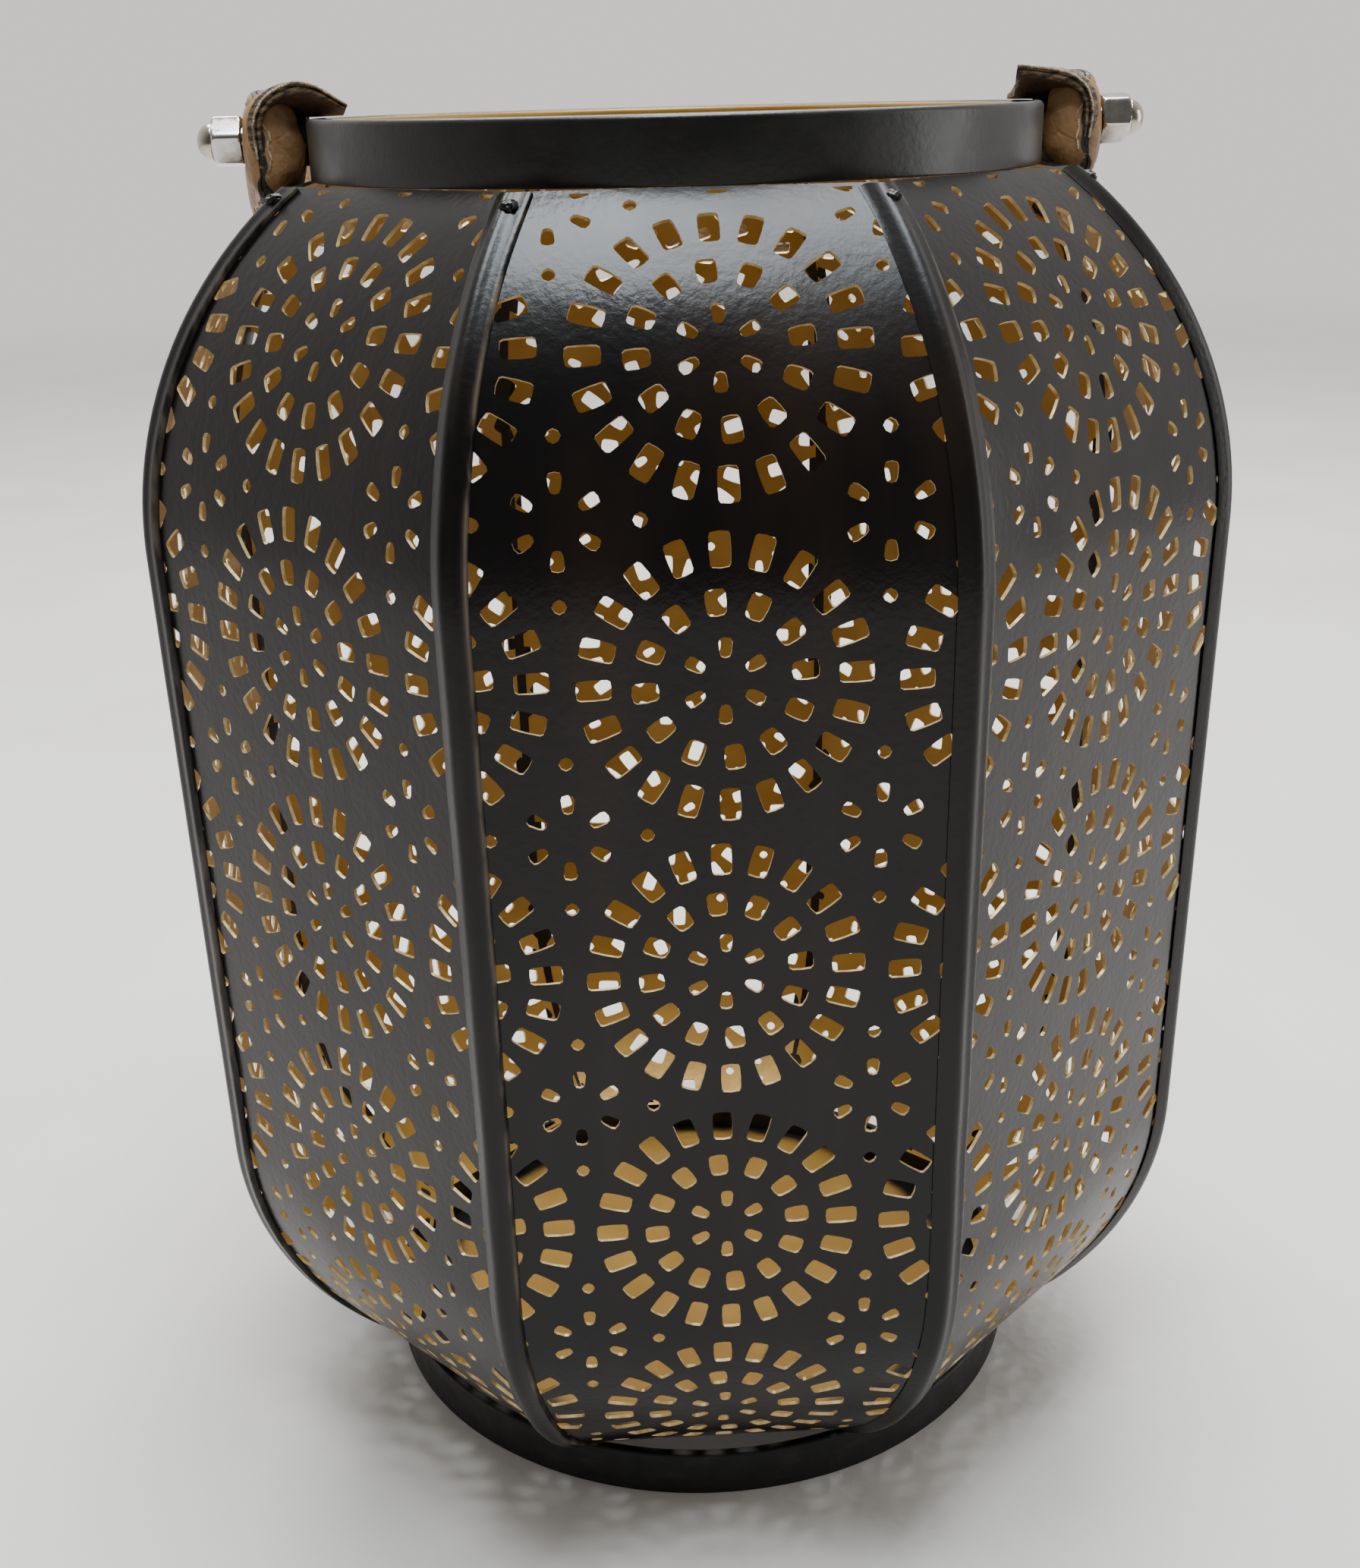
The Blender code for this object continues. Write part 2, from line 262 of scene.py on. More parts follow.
def black_paint(name, roughness=0.24, worn=None):
    """Brushed-on black with a faint brown in it, an orange-peel skin and, if asked, pale worn places."""
    look = Look(name)
    look.set("Specular IOR Level", 0.26)
    streaks = look.remap(look.noise(34, 4, (1, 1, 0.09)), 0.42, 0.78)
    color = look.blend(streaks, (0.0045, 0.004, 0.0038), (0.015, 0.009, 0.006))
    if worn:
        patchy = look.remap(look.noise(160, 4, (1, 1, 0.35)), 0.38, 0.66)
        color = look.blend(look.math("MULTIPLY", look.attribute(worn), patchy), color, (0.13, 0.105, 0.075))
    look.color(color)
    look.rough(look.remap(look.noise(22, 3), 0.3, 0.7, roughness - 0.05, roughness + 0.08))
    look.bump(look.noise(75, 2), 0.0005, 0.25)
    look.bump(look.noise(620, 3), 0.00022, 0.32)
    return look.material


def dull_black_paint(name):
    """Dry black paint with faint scuffs."""
    look = Look(name)
    look.set("Specular IOR Level", 0.4)
    scuffs = look.noise(90, 5, (1, 1, 3))
    look.color(look.blend(look.remap(scuffs, 0.5, 0.75), (0.006, 0.0056, 0.0053), (0.02, 0.018, 0.017)))
    look.rough(look.remap(look.noise(150, 3), 0.3, 0.7, 0.5, 0.66))
    look.bump(look.noise(700, 3), 0.0002, 0.35)
    return look.material


def gold_paint(name):
    """Gold lacquer on the inside, cloudy and a little uneven."""
    look = Look(name, metallic=0.35)
    clouds = look.remap(look.noise(38, 4), 0.35, 0.7)
    look.color(look.blend(clouds, (0.36, 0.2, 0.032), (0.45, 0.27, 0.055)))
    look.rough(look.remap(look.noise(60, 3), 0.3, 0.7, 0.38, 0.52))
    look.bump(look.noise(500, 3), 0.0002, 0.3)
    return look.material


def cut_metal(name):
    """The bright cut edge of the sheet round each hole."""
    look = Look(name, metallic=0.35)
    look.color(look.blend(look.remap(look.noise(260, 3), 0.35, 0.65), (0.42, 0.29, 0.1), (0.7, 0.56, 0.3)))
    look.rough(look.remap(look.noise(400, 2), 0.3, 0.7, 0.3, 0.5))
    return look.material


def rim_paint(name):
    """Satin black paint on the flat bar."""
    look = Look(name)
    look.set("Specular IOR Level", 0.45)
    scuffs = look.remap(look.noise(60, 5, (1, 1, 4)), 0.52, 0.78)
    look.color(look.blend(scuffs, (0.005, 0.0045, 0.0042), (0.018, 0.014, 0.012)))
    look.rough(look.remap(look.noise(70, 3), 0.3, 0.7, 0.3, 0.42))
    look.bump(look.noise(90, 2), 0.0004, 0.2)
    look.bump(look.noise(700, 3), 0.0002, 0.3)
    return look.material


def floor_plate_paint(name):
    """Gold paint on the floor inside a disc set a little towards the back, and near-black painted shade
    outside it, where the panels shade the floor.
    """
    look = Look(name, metallic=0.1)
    shade_ring_centre = (0.0, 9 * MM, 0.0)
    apart = look.node("ShaderNodeVectorMath", operation="DISTANCE")
    apart.inputs[1].default_value = shade_ring_centre
    look.link(look.place, apart.inputs[0])
    uneven = look.math("MULTIPLY", look.noise(90, 4), 0.006)
    # painted shade: the floor goes near-black outside the gold disc, standing in for the shade round the
    # panels' feet
    rim = look.remap(look.math("ADD", apart.outputs["Value"], uneven), 0.075, 0.08)
    gold = look.blend(look.remap(look.noise(38, 4), 0.35, 0.7), (0.33, 0.18, 0.03), (0.42, 0.25, 0.05))
    look.color(look.blend(rim, gold, (0.006, 0.0055, 0.005)))
    look.rough(look.remap(look.noise(60, 3), 0.3, 0.7, 0.4, 0.55))
    look.bump(look.noise(500, 3), 0.0002, 0.3)
    return look.material


def nickel(name, tint=(0.56, 0.54, 0.5)):
    """Bright plating with fine turning marks and tiny dings."""
    look = Look(name, metallic=1.0)
    darker = tuple(0.8 * part for part in tint)
    look.color(look.blend(look.remap(look.noise(300, 4), 0.45, 0.7), tint, darker))
    look.rough(look.remap(look.noise(500, 3), 0.3, 0.7, 0.12, 0.22))
    look.bump(look.noise(1500, 3), 0.00004, 0.12)
    return look.material


def weld_metal(name):
    """Rough silvery weld, half under paint."""
    look = Look(name, metallic=0.8)
    bare = look.remap(look.noise(900, 4), 0.52, 0.66)
    look.color(look.blend(bare, (0.008, 0.008, 0.008), (0.34, 0.33, 0.31)))
    look.rough(look.remap(look.noise(700, 3), 0.3, 0.7, 0.2, 0.5))
    look.bump(look.noise(1200, 4), 0.0005, 0.8)
    return look.material


def leather(name, light=(0.37, 0.205, 0.078), dark=(0.17, 0.085, 0.03)):
    """Tan leather: pebbled grain, creases and uneven dye."""
    look = Look(name)
    cloud = look.remap(look.noise(48, 4), 0.35, 0.72)
    color = look.blend(cloud, light, dark)
    stain = look.remap(look.noise(160, 4), 0.55, 0.75, 0.0, 0.6)
    look.color(look.blend(stain, color, tuple(0.55 * part for part in dark)))
    look.rough(look.remap(look.noise(210, 3), 0.3, 0.7, 0.42, 0.62))
    look.bump(look.remap(look.cells(160, "DISTANCE_TO_EDGE", (1, 1.7, 1)), 0.0, 0.08), 0.0003, 0.25)
    look.bump(look.cells(950), 0.00018, 0.45)
    look.bump(look.noise(120, 4), 0.0006, 0.3)
    return look.material


def dyed_edge(name):
    """The cut edge of the leather, dyed near-black and rubbed pale in places."""
    look = Look(name)
    rubbed = look.remap(look.noise(380, 5), 0.56, 0.68)
    look.color(look.blend(rubbed, (0.012, 0.009, 0.008), (0.26, 0.2, 0.13)))
    look.rough(look.remap(look.noise(300, 2), 0.3, 0.7, 0.55, 0.8))
    look.bump(look.noise(900, 4), 0.0004, 0.6)
    return look.material


def layered_edge(name):
    """A cut edge of two leathers: brown fibre with darker dye in the join."""
    look = Look(name)
    fibre = look.remap(look.noise(420, 5, (1, 1, 2.5)), 0.4, 0.62)
    look.color(look.blend(fibre, (0.03, 0.019, 0.012), (0.2, 0.135, 0.07)))
    look.rough(look.remap(look.noise(300, 2), 0.3, 0.7, 0.6, 0.85))
    look.bump(look.noise(900, 4), 0.0005, 0.7)
    return look.material


def waxed_thread(name):
    """Pale sewing thread."""
    look = Look(name)
    soiled = look.remap(look.noise(260, 4), 0.35, 0.65)
    look.color(look.blend(soiled, (0.5, 0.43, 0.31), (0.22, 0.17, 0.11)))
    look.rough(look.remap(look.noise(300, 2), 0.3, 0.7, 0.6, 0.8))
    twist = look.node("ShaderNodeTexWave", wave_type="BANDS", bands_direction="DIAGONAL")
    twist.inputs["Scale"].default_value = 900
    look.link(look.place, twist.inputs["Vector"])
    look.bump(twist.outputs["Fac"], 0.0001, 0.6)
    return look.material


def floor_look(name):
    """A pale, slightly pebbled board that fades into the room."""
    look = Look(name)
    look.set("Roughness", 0.6)
    look.color(look.blend(look.remap(look.noise(6, 3), 0.3, 0.7), (0.76, 0.74, 0.715), (0.7, 0.68, 0.65)))
    look.bump(look.cells(260), 0.0006, 0.25)
    apart = look.node("ShaderNodeVectorMath", operation="LENGTH")
    look.link(look.place, apart.inputs[0])
    look.link(look.remap(apart.outputs["Value"], 1.1, 3.2, 1.0, 0.0), look.shader.inputs["Alpha"])
    return look.material


# ---------------------------------------------------------------- the body's profile


def shoulder_radius(end_apothem):
    """Radius of the arc from the upright wall to an end apothem, one shoulder height on."""
    drop = WALL_APOTHEM - end_apothem
    return (SHOULDER_HEIGHT**2 + drop**2) / (2 * drop)


FOOT_END = (FOOT_RADIUS - CORNER_INSET) * math.cos(HALF_SIDE)
WALL_LOW = BAR_HEIGHT + GAP + SHOULDER_HEIGHT
WALL_HIGH = RIM_UNDERSIDE - GAP - SHOULDER_HEIGHT
LOW_RADIUS, HIGH_RADIUS = shoulder_radius(FOOT_END), shoulder_radius(RIM_RADIUS)
LOW_ARC = LOW_RADIUS * math.asin(SHOULDER_HEIGHT / LOW_RADIUS)
HIGH_ARC = HIGH_RADIUS * math.asin(SHOULDER_HEIGHT / HIGH_RADIUS)
WALL_ARC = WALL_HIGH - WALL_LOW
LENGTH = LOW_ARC + WALL_ARC + HIGH_ARC
PATTERN_CENTRE = LOW_ARC + PATTERN_HEIGHT - WALL_LOW


def profile(along):
    """Apothem, height and outward normal of the panels' outer face, a distance up the sheet."""
    if along < LOW_ARC:
        turn = (LOW_ARC - along) / LOW_RADIUS
        fall = LOW_RADIUS * (1 - math.cos(turn))
        height = WALL_LOW - LOW_RADIUS * math.sin(turn)
        return WALL_APOTHEM - fall, height, math.cos(turn), -math.sin(turn)
    if along < LOW_ARC + WALL_ARC:
        return WALL_APOTHEM, WALL_LOW + along - LOW_ARC, 1.0, 0.0
    turn = (along - LOW_ARC - WALL_ARC) / HIGH_RADIUS
    fall = HIGH_RADIUS * (1 - math.cos(turn))
    return WALL_APOTHEM - fall, WALL_HIGH + HIGH_RADIUS * math.sin(turn), math.cos(turn), math.sin(turn)


def around(angle, out, across, height):
    """A point from its distance out and across, seen from a direction; angle 0 is the front."""
    sine, cosine = math.sin(angle), math.cos(angle)
    return Vector((out * sine + across * cosine, -out * cosine + across * sine, height))


# ---------------------------------------------------------------- pierced panels


def punch(centre, angle, length, width, taper, squareness, points):
    """One hole's outline: long along its radius, wider at the outer end by the taper."""
    outline = []
    for step in range(points):
        turn = 2 * math.pi * step / points
        cosine, sine = math.cos(turn), math.sin(turn)
        along = math.copysign(abs(cosine) ** squareness, cosine)
        aside = math.copysign(abs(sine) ** squareness, sine) * (1 + taper * along)
        x, y = along * length / 2, aside * width / 2
        outline.append(
            (
                centre[0] + x * math.cos(angle) - y * math.sin(angle),
                centre[1] + x * math.sin(angle) + y * math.cos(angle),
            )
        )
    return outline


# count, radius in repeats, angle of the first, then length and width in mm, taper, squareness, points
RINGS = (
    (6, 0.1066, 90.0, 4.1, 2.6, 0.16, 0.62, 10),
    (12, 0.2484, 96.6, 5.3, 4.1, 0.07, 0.5, 12),
    (20, 0.406, 92.1, 6.9, 4.2, 0.02, 0.36, 12),
)
PETALS = (6, 0.114, 90.0, 4.1, 2.6, 0.18, 0.62, 10)
DOT_SIZE = 2.9 * MM


def ring_of_holes(centre, count, radius, first, length, width, taper, squareness, points):
    """Holes spaced evenly round a centre, each pointing away from it."""
    for step in range(count):
        angle = math.radians(first) + 2 * math.pi * step / count
        at = (
            centre[0] + radius * REPEAT * math.cos(angle),
            centre[1] + radius * REPEAT * math.sin(angle),
        )
        yield punch(at, angle, length * MM, width * MM, taper, squareness, points)


def pattern():
    """Every hole's outline on one flat panel, before the edges trim them."""
    for row in range(-3, 4):
        level = PATTERN_CENTRE + row * REPEAT
        for column in (-1, 0, 1):
            for ring in RINGS:
                yield from ring_of_holes((column * REPEAT, level), *ring)
        for side in (-0.5, 0.5):
            yield from ring_of_holes((side * REPEAT, level + REPEAT / 2), *PETALS)
        for side in (-0.5, 0.5):
            for step in range(4):
                angle = math.pi / 2 * step
                at = (
                    side * REPEAT + REPEAT / 4 * math.cos(angle),
                    level + REPEAT / 2 + REPEAT / 4 * math.sin(angle),
                )
                if step != 2 or side < 0:
                    yield punch(at, 0.0, DOT_SIZE, DOT_SIZE, 0.0, 1.2, 8)


def half_width(along):
    """Half the panel's width at a distance up the sheet."""
    return profile(along)[0] * math.tan(HALF_SIDE) - GAP / 2


def area(outline):
    """Signed area of a flat outline."""
    pairs = zip(outline, outline[1:] + outline[:1])
    return sum(a[0] * b[1] - b[0] * a[1] for a, b in pairs) / 2


def clipped(outline, room):
    """The part of an outline where a function of its points is positive."""
    kept = []
    for a, b in zip(outline, outline[1:] + outline[:1]):
        here, there = room(a), room(b)
        if here >= 0:
            kept.append(a)
        if (here >= 0) != (there >= 0):
            share = here / (here - there)
            kept.append((mix(a[0], b[0], share), mix(a[1], b[1], share)))
    return [p for i, p in enumerate(kept) if math.dist(p, kept[i - 1]) > 0.03 * MM]


def trimmed_holes():
    """The pattern's holes, skewed, cut off at the panel's edges and cleared of slivers."""
    kept = []
    for outline in pattern():
        outline = [(u + mix(SKEW_LOW, SKEW_HIGH, s / LENGTH), s) for u, s in outline]
        outline = clipped(outline, lambda p: p[1] - HOLE_EDGE)
        outline = clipped(outline, lambda p: LENGTH - HOLE_EDGE - p[1])
        outline = clipped(outline, lambda p: half_width(p[1]) - HOLE_EDGE - abs(p[0]))
        if len(outline) > 3 and area(outline) > 0.8 * MM**2:
            kept.append(outline)
    return kept


def stations():
    """Distances up the sheet where it may bend."""
    count = math.ceil(LENGTH / BAND)
    return [LENGTH * step / count for step in range(count + 1)]


def cut_sheet():
    """The flat panel as triangles round its holes: points and faces."""
    levels = stations()
    edge = [(half_width(s), s) for s in levels] + [(-half_width(s), s) for s in reversed(levels)]
    points, lines, faces = list(edge), [], [list(range(len(edge)))]
    lines += [(i, (i + 1) % len(edge)) for i in range(len(edge))]
    lines += [(i, len(edge) - 1 - i) for i in range(1, len(levels) - 1)]
    for outline in trimmed_holes():
        first = len(points)
        points += outline
        faces.append(list(range(first, len(points))))
        lines += [(first + i, first + (i + 1) % len(outline)) for i in range(len(outline))]
    flat = [Vector((u / MM, s / MM)) for u, s in points]
    found = geometry.delaunay_2d_cdt(flat, lines, faces, 0, 1e-4)
    triangles = [tuple(face) for face, source in zip(found[2], found[5]) if set(source) == {0}]
    return [point * MM for point in found[0]], triangles


def on_end(point):
    """Whether a flat point lies on the sheet's lower or upper end."""
    return point[1] < 0.1 * MM or point[1] > LENGTH - 0.1 * MM


def pierced_panel(index, looks):
    """One curved sheet with its holes right through: painted outside, gold inside."""
    points, triangles = cut_sheet()
    angle = 2 * HALF_SIDE * index
    verts, normals = [], []
    for depth in (0.0, SHEET):
        for u, s in points:
            out, height, normal_out, normal_up = profile(min(max(s, 0.0), LENGTH))
            verts.append(around(angle, out - depth * normal_out, u, height - depth * normal_up))
            normals.append(around(angle, normal_out, 0.0, normal_up))
    count = len(points)
    edges = dict.fromkeys(pair for a, b, c in triangles for pair in ((a, b), (b, c), (c, a)))
    open_edges = [pair for pair in edges if (pair[1], pair[0]) not in edges]
    faces = list(triangles)
    faces += [(c + count, b + count, a + count) for a, b, c in triangles]
    faces += [(b, a, a + count, b + count) for a, b in open_edges]
    mesh = bpy.data.meshes.new(f"pierced_panel_{index + 1}")
    mesh.from_pydata(verts, [], faces)
    for look in looks:
        mesh.materials.append(look)
    sheet = len(triangles)
    edge_slots = [0 if on_end(points[a]) else 2 for a, _ in open_edges]
    mesh.polygons.foreach_set("material_index", [0] * sheet + [1] * sheet + edge_slots)
    corner_normals = []
    for face in mesh.polygons:
        for vertex in face.vertices:
            if face.index < sheet:
                corner_normals.append(normals[vertex])
            elif face.index < 2 * sheet:
                corner_normals.append(-normals[vertex])
            else:
                corner_normals.append(face.normal.copy())
    mesh.shade_smooth()
    mesh.normals_split_custom_set(corner_normals)
    obj = bpy.data.objects.new(mesh.name, mesh)
    bpy.context.scene.collection.objects.link(obj)
    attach(obj, "lantern")
    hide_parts(f"panel_{index + 1}")
    return obj


# ---------------------------------------------------------------- corner strips

# distance across in mm, lift off the corner in mm, share of paint worn off
STRIP_SECTION = (
    (-4.0, -1.2, 0.0),
    (-3.7, -0.85, 0.0),
    (-2.9, -0.2, 0.0),
    (-2.1, 0.55, 0.0),
    (-1.4, 1.12, 0.0),
    (-0.7, 1.4, 0.03),
    (0.0, 1.4, 0.08),
    (0.7, 1.1, 0.03),
    (1.3, 0.7, 0.0),
    (2.0, 0.45, 0.0),
    (2.8, 0.3, 0.05),
    (3.3, 0.2, 0.35),
    (3.6, 0.0, 0.85),
    (3.7, -0.4, 0.7),
    (3.7, -1.4, 0.1),
)


def corner_strip(index, look):
    """A rolled ridge over the joint of two panels, with a raised lip along one side."""
    angle = 2 * HALF_SIDE * (index + 0.5)
    low, high = BAR_HEIGHT + GAP, RIM_UNDERSIDE - GAP
    bm = bmesh.new()
    sections = []
    slope = math.tan(HALF_SIDE)
    for step in range(STRIP_STEPS + 1):
        along = LENGTH * step / STRIP_STEPS
        apothem, height, normal_out, normal_up = profile(along)
        corner = apothem / math.cos(HALF_SIDE)
        wave = 0.18 * MM * noise.noise(Vector((index * 7.1, along * 55, 0)))
        loop = []
        for across, lift, _ in STRIP_SECTION:
            across, lift = across * MM + wave, lift * MM
            if lift < 0.4 * MM:
                lift = max(lift, GAP / 2 - abs(across) * slope * normal_out)
            loop.append((across, lift))
        under = GAP / 2 - STRIP_WIDTH / 2 * slope * normal_out
        loop += [(0.45 * STRIP_WIDTH, under), (-0.45 * STRIP_WIDTH, under)]
        section = []
        for across, lift in loop:
            out, up = corner + lift * normal_out, height + lift * normal_up
            level = min(max(up, low), high)
            slide = (level - up) / normal_out
            section.append(around(angle, out - slide * normal_up, across, level))
        sections.append(section)
    loft(bm, sections)
    worn = bm.verts.layers.float.new("worn")
    wear = [share for _, _, share in STRIP_SECTION] + [0.0, 0.0]
    bm.verts.ensure_lookup_table()
    for vertex in bm.verts:
        vertex[worn] = wear[vertex.index % len(wear)]
    obj = add_mesh(f"rolled_strip_{index + 1}", bm, [look])
    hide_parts(f"corner_strip_{index + 1}")
    return obj


def weld_blob(index, look):
    """A lumpy weld where a strip's upper end meets the rim."""
    angle = 2 * HALF_SIDE * (index + 0.5)
    apothem, height, normal_out, normal_up = profile(LENGTH - 3.5 * MM)
    centre = around(angle, apothem / math.cos(HALF_SIDE) + 0.9 * MM, 0.6 * MM, height - 0.2 * MM)
    bm = bmesh.new()
    bmesh.ops.create_icosphere(bm, subdivisions=4, radius=1.0)
    turn = Matrix.Rotation(angle, 3, "Z")
    for vertex in bm.verts:
        lump = 1 + 0.2 * noise.fractal(vertex.co * 2.3 + Vector((index * 5.3, 0, 0)), 1.0, 2.0, 3)
        point = centre + turn @ (vertex.co * WELD_SIZE * lump)
        point.z = min(point.z, RIM_UNDERSIDE - 0.05 * MM)
        vertex.co = point
    obj = add_mesh(f"weld_{index + 1}", bm, [look])
    return obj


# ---------------------------------------------------------------- bar rings


def bar_ring(node, outside, low, rounding, looks):
    """A flat bar rolled into a wavy ring with softened edges; looks are its outer and inner paint."""
    inside, high = outside - BAR_THICKNESS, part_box(node)[1].z
    corners = (
        (outside, low, LOW_EDGE, -1, 1),
        (outside, high, rounding, -1, -1),
        (inside, high, rounding, 1, -1),
        (inside, low, LOW_EDGE, 1, 1),
    )
    outline = []
    for index, (out, height, size, side, end) in enumerate(corners):
        arc = [math.pi / 2 * step / EDGE_STEPS for step in range(EDGE_STEPS + 1)]
        for turn in arc if index % 2 else reversed(arc):
            outline.append(
                (
                    out + side * size * (1 - math.cos(turn)),
                    height + end * size * (1 - math.sin(turn)),
                )
            )
    per_corner = EDGE_STEPS + 1
    inner_wall = range(2 * per_corner + EDGE_STEPS // 2, 3 * per_corner + 1)
    sections = []
    for step in range(RING_STEPS):
        angle = 2 * math.pi * step / RING_STEPS
        wave = 0.12 * MM * noise.noise(Vector((3 * math.cos(angle), 3 * math.sin(angle), low * 40)))
        sections.append([around(angle, out + wave, 0.0, height) for out, height in outline])
    bm = bmesh.new()
    loft(bm, sections, closed=True, slot=lambda i, j: 1 if j in inner_wall else 0)
    obj = add_mesh(f"{node}_bar", bm, looks)
    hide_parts(node)
    return obj


# ---------------------------------------------------------------- nuts


def acorn_nut(name, side, twist, looks):
    """A hexagon with crowned ends, a collar and a domed cap."""
    steps, flat = 96, 5.0 * MM
    corner = flat / math.cos(math.pi / 6)

    def hexagon(limit):
        def radius(turn):
            beside = ((turn - twist) % (math.pi / 3)) - math.pi / 6
            sharp = flat / math.cos(beside)
            return min(sharp, limit) - 0.12 * MM * (sharp / corner) ** 24

        return radius

    start, end = NUT_START, NUT_START + 6.4 * MM
    rows = []
    for depth, trim in ((0.0, 0.45), (0.18, 0.2), (0.5, 0.05), (0.9, 0.0)):
        rows.append((start + depth * MM, hexagon(corner - trim * MM), 0))
    for depth, trim in ((0.9, 0.0), (0.5, 0.08), (0.2, 0.3), (0.0, 0.7)):
        rows.append((end - depth * MM, hexagon(corner - trim * MM), 0))
    dome = 4.1 * MM
    rows += [(end + 0.02 * MM, dome + 0.2 * MM, 0), (end + 0.3 * MM, dome - 0.05 * MM, 1)]
    for step in range(1, 15):
        turn = math.pi / 2 * step / 15
        rows.append((end + (NUT_TIP - end) * math.sin(turn), dome * math.cos(turn) ** 0.92, 1))
    bm = bmesh.new()
    sections = []
    for out, radius, _ in rows:
        loop = []
        for step in range(steps):
            turn = 2 * math.pi * step / steps
            size = radius(turn) if callable(radius) else radius
            loop.append(Vector((side * out, size * math.cos(turn), BOLT_Z + size * math.sin(turn))))
        sections.append(loop)
    loft(bm, sections, slot=lambda i, j: rows[i + 1][2] if i >= 0 else (0 if i == -1 else 1))
    obj = add_mesh(f"domed_nut_{name}", bm, looks)
    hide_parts(f"acorn_nut_{name}")
    return obj


# ---------------------------------------------------------------- strap


def strap_line(spacing):
    """The loop's middle line: place out, height up the leg, outward normal and distance from the end."""
    reach, swing = LOOP_HALF_WIDTH + LOOP_SWEEP, LEG_X + LOOP_SWEEP
    arch_height = STRAP_STRAIGHT + math.sqrt(reach**2 - swing**2)
    meet = math.acos(swing / reach)
    straight, sweep = STRAP_END + STRAP_STRAIGHT, LOOP_SWEEP * meet
    arch = LOOP_HALF_WIDTH * (math.pi / 2 + meet)
    half = straight + sweep + arch

    def leg_point(along):
        if along <= straight:
            return LEG_X, along - STRAP_END, 1.0, 0.0
        if along <= straight + sweep:
            turn = (along - straight) / LOOP_SWEEP
            return (
                swing - LOOP_SWEEP * math.cos(turn),
                STRAP_STRAIGHT + LOOP_SWEEP * math.sin(turn),
                math.cos(turn),
                -math.sin(turn),
            )
        turn = (along - straight - sweep) / LOOP_HALF_WIDTH - meet
        cosine, sine = math.cos(turn), math.sin(turn)
        return LOOP_HALF_WIDTH * cosine, arch_height + LOOP_HALF_WIDTH * sine, cosine, sine

    places, along = [], 0.0
    while along < half:
        places.append(along)
        along += min(0.8 * MM, 0.12 * MM + 0.4 * along) if along < 22 * MM else spacing
    places.append(half)
    line = [(*leg_point(place), place) for place in places]
    line += [(-x, h, -out, up, place) for x, h, out, up, place in reversed(line[:-1])]
    return line


def strap_half(end_distance):
    """Half the strap's width at a distance from its end, drawn in round the corners."""
    if end_distance >= STRAP_CORNER:
        return STRAP_WIDTH / 2
    short = STRAP_CORNER - end_distance
    return STRAP_WIDTH / 2 - STRAP_CORNER + math.sqrt(max(STRAP_CORNER**2 - short**2, 0.0))


def strap_edge(place, side):
    """The strap's edge across from its middle line; the upper corner is drawn in where it curls over."""
    drawn = 4.2 * MM * (1 - ease(place / (24 * MM))) if side < 0 else 0.0
    return side * (strap_half(place) - drawn)


HANDLE_PLACE = Matrix.Translation((0, 0, BOLT_Z)) @ Matrix.Rotation(-(math.pi / 2 + REST_DROP), 4, "X")
SECTION_SHARES = (0.0, 0.18, 0.36, 0.5, 0.62, 0.72, 0.79, 0.84, 0.89, 0.94, 0.98, 1.0)


def swell(across, place):
    """From 0 at the seam to 1 where the padding is fullest."""
    high, low = strap_edge(place, -1), strap_edge(place, 1)
    side = 1 - ((2 * across - high - low) / (low - high)) ** 2
    end = 1 - (1 - min(place / BLUNT_END, 1.0)) ** 2
    return max(side, 0.0) ** 0.42 * math.sqrt(max(end, 0.0))


def lift(across, place, layer):
    """How far a layer's face stands off the seam's plane: a pillow by the bolts, thinner round the loop."""
    loop_share = ease((place - PILLOW_LENGTH) / PILLOW_TAPER)
    if layer > 0:
        full = mix(OUTER_FULL, LOOP_FULL, loop_share) + end_lean(across, place)
    else:
        full = mix(INNER_FULL, LOOP_FULL, loop_share)
    seam = mix(END_SEAM, LOOP_SEAM, loop_share)
    edge = min(strap_edge(place, 1) - across, across - strap_edge(place, -1), place)
    groove = 0.35 * MM * math.exp(-(((edge - STITCH_INSET) / (0.7 * MM)) ** 2))
    near = 1 - ease((place - 20 * MM) / (60 * MM))
    spot = Vector((place * 120, across * 60, layer * 9.0))
    folds = (0.14 + 0.45 * near) * noise.noise(spot) + 0.1 * near * noise.noise(spot * 4)
    share = swell(across, place)
    return GAP / 2 + mix(seam, full, share) - groove + folds * MM * ease(2 * share)


def end_lean(across, place):
    """How far the strap's cut end leans in towards the rim, unevenly."""
    near = 1 - ease(place / (13 * MM))
    wave = 0.5 * math.sin(across / MM * 0.42) + 0.35 * math.sin(across / MM * 0.97 + 1)
    return near * (2.2 + wave) * MM


def strap_point(station, across, layer, off):
    """A place on the strap in the frame: off is the distance from the seam's plane."""
    x, height, out, up, place = station
    reach = layer * off - end_lean(across, place)
    return HANDLE_PLACE @ Vector((x + reach * out, across, height + reach * up))


